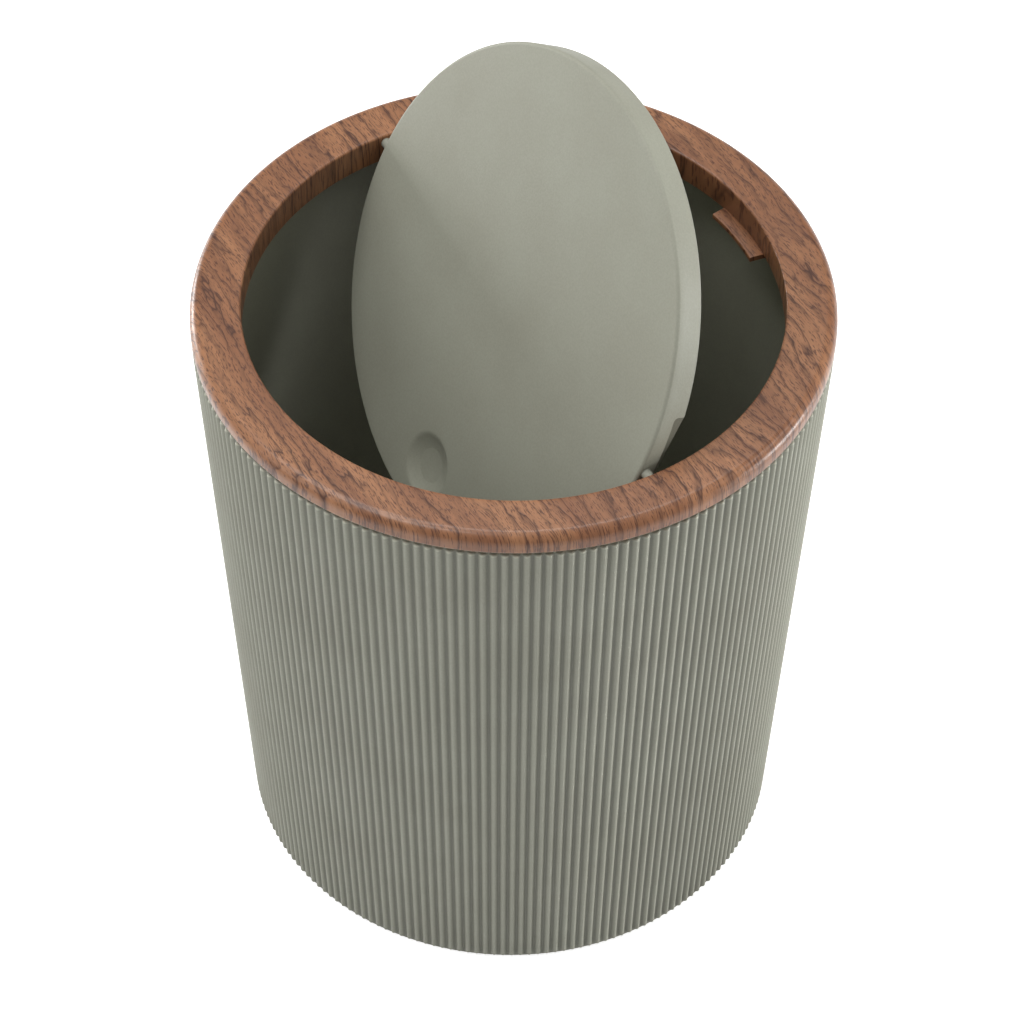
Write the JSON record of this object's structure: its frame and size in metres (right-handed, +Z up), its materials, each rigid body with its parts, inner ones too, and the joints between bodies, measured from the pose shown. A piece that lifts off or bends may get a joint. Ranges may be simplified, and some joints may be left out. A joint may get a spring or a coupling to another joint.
{
  "type": "swing-lid trash can",
  "caption": "Round tapered trash can with fine vertical ribs, a wood-look rim ring and a disc lid that swings on two pivots and lifts off with the ring.",
  "frame": {"origin": "on the floor, at the middle of the bin's base", "axes": "+Z up the bin's axis; X along the lid's hinge; +Y to the rear, where the stop ledge is and the lid's raised half stands; -Y to the front, the side with the thumb recess"},
  "size_m": [0.215, 0.215, 0.3142],
  "materials": {
    "bucket_plastic": "matte grey-green moulded plastic",
    "ring_wood_look": "satin walnut-look finish on moulded plastic",
    "lid_plastic": "matte grey-green moulded plastic",
    "pin_plastic": "smooth moulded plastic"
  },
  "bodies": {
    "bin": {"bucket": "bucket_plastic"},
    "ring": {"rim_ring": "ring_wood_look"},
    "lid": {"swing_lid": "lid_plastic", "pivot_pin_left": "pin_plastic", "pivot_pin_right": "pin_plastic"}
  },
  "joints": [
    {"name": "ring_lift", "type": "slide", "parent": "bin", "child": "ring", "axis": [0, 0, 1], "range_m": [0, 0.1]},
    {"name": "lid_swing", "type": "hinge", "parent": "ring", "child": "lid", "pos_m": [0, 0, 0.2351], "axis": [1, 0, 0], "range_deg": [-63.8, 26.2]}
  ]
}
